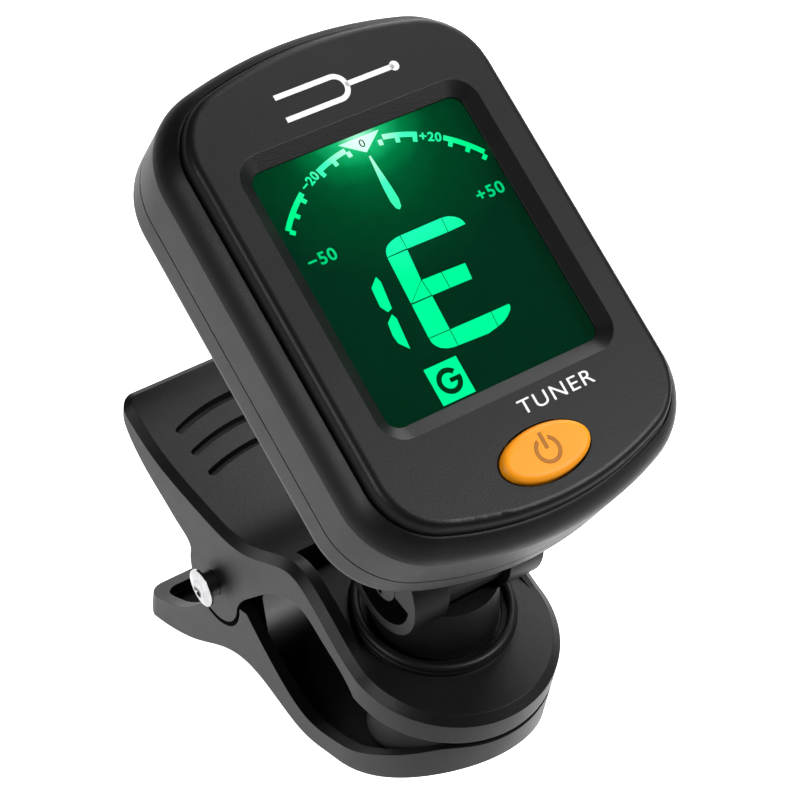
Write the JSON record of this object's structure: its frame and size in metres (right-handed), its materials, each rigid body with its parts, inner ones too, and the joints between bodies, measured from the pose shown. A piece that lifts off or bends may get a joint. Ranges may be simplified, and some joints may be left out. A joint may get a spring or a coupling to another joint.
{
  "type": "clip-on instrument tuner",
  "caption": "Clip-on instrument tuner: backlit display head with a power button, tilting and turning on a swivel post above a spring clamp with soft pads.",
  "frame": {"origin": "where the head's swivel axis meets the gripping face of the upper pad", "axes": "+X across the clip, +Y from the jaws' round nose towards the levers, +Z out of the clip along the swivel axis towards the head"},
  "size_m": [0.04, 0.0613, 0.0898],
  "materials": {
    "black_plastic": "fine satin moulding texture",
    "pad_rubber": "soft matt",
    "plated_steel": "bright nickel-chrome plating",
    "spring_steel": "drawn wire",
    "screw_steel": "zinc plated",
    "nylon": "natural nylon",
    "clear_window": "clear acrylic, glossy outside",
    "lcd_glass": "dark green tinted panel with bright segments",
    "light_guide": "frosted light guide",
    "led_body": "moulded lamp",
    "zebra_rubber": "striped silicone",
    "circuit_laminate": "green solder mask",
    "chip_body": "moulded epoxy",
    "orange_plastic": "smooth semi-gloss",
    "brass_disc": "rolled sheet",
    "cell_steel": "nickel-plated can",
    "nickel_strip": "nickel-plated strip"
  },
  "bodies": {
    "upper_jaw": {"upper_jaw": "black_plastic", "upper_pad": "pad_rubber", "pivot_pin": "plated_steel", "torsion_spring": "spring_steel", "thrust_washer": "nylon"},
    "lower_jaw": {"lower_jaw": "black_plastic", "lower_pad": "pad_rubber"},
    "swivel": {"swivel_post": "black_plastic", "swivel_screw": "screw_steel", "retaining_washer": "screw_steel", "hinge_bolt": "screw_steel", "hinge_nut": "screw_steel"},
    "head": {"front_shell": "black_plastic", "rear_shell": "black_plastic", "display_window": "clear_window", "lcd_panel": "lcd_glass", "backlight_panel": "light_guide", "backlight_leds": "led_body", "lcd_connector": "zebra_rubber", "circuit_board": "circuit_laminate", "control_chip": "chip_body", "tact_switch": "chip_body", "piezo_sensor": "brass_disc", "coin_cell": "cell_steel", "battery_contact_negative": "nickel_strip", "battery_contact_positive": "nickel_strip", "housing_screws": "screw_steel"},
    "power_button": {"power_button": "orange_plastic"},
    "battery_cover": {"battery_cover": "black_plastic"}
  },
  "joints": [
    {"name": "jaw_open", "type": "hinge", "parent": "upper_jaw", "child": "lower_jaw", "pos_m": [0, 0.0234, -0.0096], "axis": [1, 0, 0], "range_deg": [0, 30], "stiffness_Nm_per_rad": 0.16, "springref_deg": -60.16, "deforming": ["torsion_spring"]},
    {"name": "head_swivel", "type": "hinge", "parent": "upper_jaw", "child": "swivel", "pos_m": [0, 0, 0], "axis": [0, 0, 1], "continuous": true},
    {"name": "head_tilt", "type": "hinge", "parent": "swivel", "child": "head", "pos_m": [0, 0, 0.0156], "axis": [1, 0, 0], "range_deg": [-45, 60]},
    {"name": "button_press", "type": "slide", "parent": "head", "child": "power_button", "axis": [0, 0.3584, -0.9336], "range_m": [0, 0.0005], "stiffness_N_per_m": 400, "springref_m": -0.0005},
    {"name": "cover_turn", "type": "hinge", "parent": "head", "child": "battery_cover", "pos_m": [0, 0.0201, 0.0391], "axis": [0, -0.3584, 0.9336], "range_deg": [0, 45]}
  ]
}
